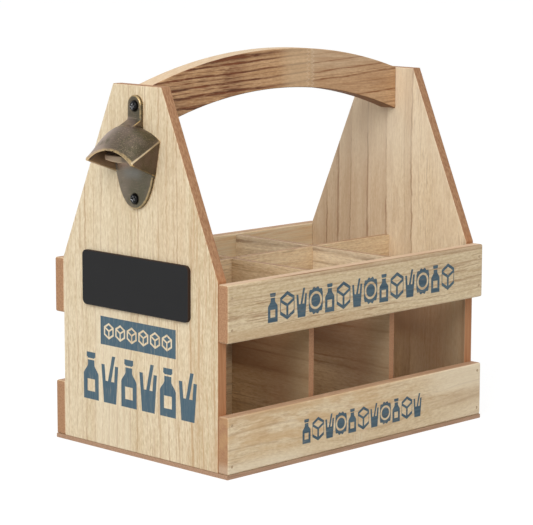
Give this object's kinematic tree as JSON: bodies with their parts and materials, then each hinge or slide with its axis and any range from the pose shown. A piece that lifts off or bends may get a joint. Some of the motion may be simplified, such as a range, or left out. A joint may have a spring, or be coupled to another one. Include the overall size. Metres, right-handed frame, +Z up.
{
  "type": "bottle caddy",
  "caption": "Slatted wooden bottle caddy with an arched carry handle, divided compartments, a writing slate and a cast opener on one end.",
  "frame": {"origin": "centre of the base board's underside, on the surface that the caddy stands on", "axes": "+X along the caddy from the opener's end to the plain end, +Y across it from the printed front to the back, +Z up"},
  "size_m": [0.2964, 0.179, 0.2832],
  "materials": {
    "wood_base": "stained edge, bare faces",
    "wood_end_opener_side": "bare, stained edges, printed blue",
    "wood_end_plain": "bare, stained edges",
    "wood_slat_front_upper": "bare, stained edges, printed blue",
    "wood_slat_front_lower": "bare, stained edges, printed blue",
    "wood_slat_back_upper": "bare, stained edges",
    "wood_slat_back_lower": "bare, stained edges",
    "wood_handle": "stained and striped",
    "wood_divider_long": "bare",
    "wood_divider_cross_near": "bare",
    "wood_divider_cross_far": "bare",
    "slate": "matt charcoal writing surface",
    "cast_bronze": "antique bronze, worn bright along its edges",
    "black_screw": "gloss black",
    "wood_dowel": "bare",
    "brad_steel": "dull"
  },
  "bodies": {
    "root": {"base_board": "wood_base", "end_panel_opener_side": "wood_end_opener_side", "end_panel_plain": "wood_end_plain", "slat_front_upper": "wood_slat_front_upper", "slat_front_lower": "wood_slat_front_lower", "slat_back_upper": "wood_slat_back_upper", "slat_back_lower": "wood_slat_back_lower", "handle": "wood_handle", "divider_long": "wood_divider_long", "divider_cross_near": "wood_divider_cross_near", "divider_cross_far": "wood_divider_cross_far", "slate_panel": "slate", "bottle_opener": "cast_bronze", "opener_screw_upper": "black_screw", "opener_screw_lower": "black_screw", "handle_dowels_near": "wood_dowel", "handle_dowels_far": "wood_dowel", "brads_front_upper": "brad_steel", "brads_front_lower": "brad_steel", "brads_back_upper": "brad_steel", "brads_back_lower": "brad_steel", "brads_base": "brad_steel"}
  },
  "joints": []
}
